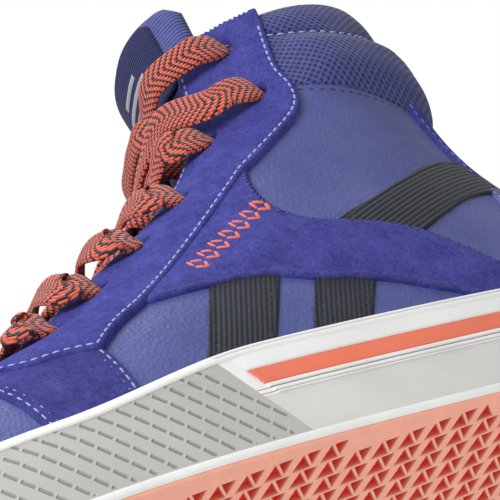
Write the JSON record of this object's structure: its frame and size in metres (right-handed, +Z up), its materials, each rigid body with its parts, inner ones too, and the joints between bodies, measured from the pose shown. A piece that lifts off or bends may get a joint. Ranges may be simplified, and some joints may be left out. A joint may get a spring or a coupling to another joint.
{
  "type": "basketball high top shoe",
  "caption": "Left basketball high top with a laced suede eyestay, padded mesh collar, ankle band, tongue and a grooved cupsole with a cellular tread.",
  "frame": {"origin": "middle of the footprint, on the floor under the tread", "axes": "+X from toe to heel along the sole, +Y to the medial (inner) side, +Z up"},
  "size_m": [0.3062, 0.106, 0.2082],
  "materials": {
    "suede": "napped suede, light blue topstitching",
    "leather": "smooth fine-grained leather",
    "dark_twill": "ribbed dark navy textile",
    "mesh": "fine woven collar mesh",
    "navy_textile": "soft navy textile",
    "grey_print": "raised grey print",
    "lace_weave": "flat lace, coral with dark herringbone",
    "coral_rubber": "translucent coral rubber",
    "white_rubber": "matt off-white rubber",
    "foam": "open-cell foam",
    "board": "stiff fibre board",
    "clear_plastic": "clear lace tip"
  },
  "bodies": {
    "shoe": {"outsole": "coral_rubber", "midsole_foam": "foam", "insole_board": "board", "cupsole_wall": "white_rubber", "cupsole_stripe": "coral_rubber", "vamp": "leather", "quarter_lateral": "leather", "quarter_medial": "leather", "collar_mesh": "mesh", "collar_top": "leather", "collar_foam": "foam", "heel_counter": "board", "toe_puff": "board", "lining": "navy_textile", "eyestay": "suede", "toe_overlay": "suede", "toe_cap": "suede", "saddle_lateral": "suede", "saddle_medial": "suede", "ankle_band": "dark_twill", "side_panel_front_lateral": "dark_twill", "side_panel_front_medial": "dark_twill", "side_panel_rear_lateral": "dark_twill", "side_panel_rear_medial": "dark_twill", "backstay_lower": "suede", "backstay_upper": "suede", "lace": "lace_weave", "aglet_lateral": "clear_plastic", "aglet_medial": "clear_plastic", "heel_pull_tab": "dark_twill"},
    "tongue": {"tongue_face": "leather", "tongue_foam": "foam", "tongue_lining": "navy_textile", "tongue_patch": "navy_textile", "tongue_badge": "grey_print"},
    "sockliner": {"sockliner": "navy_textile"}
  },
  "joints": [
    {"name": "tongue_fold", "type": "hinge", "parent": "shoe", "child": "tongue", "pos_m": [-0.083, 0, 0.0625], "axis": [0, 1, 0], "range_deg": [0, 5], "stiffness_Nm_per_rad": 2.5},
    {"name": "sockliner_lift", "type": "hinge", "parent": "shoe", "child": "sockliner", "pos_m": [-0.139, 0, 0.0275], "axis": [0, -1, 0], "range_deg": [0, 6]}
  ]
}
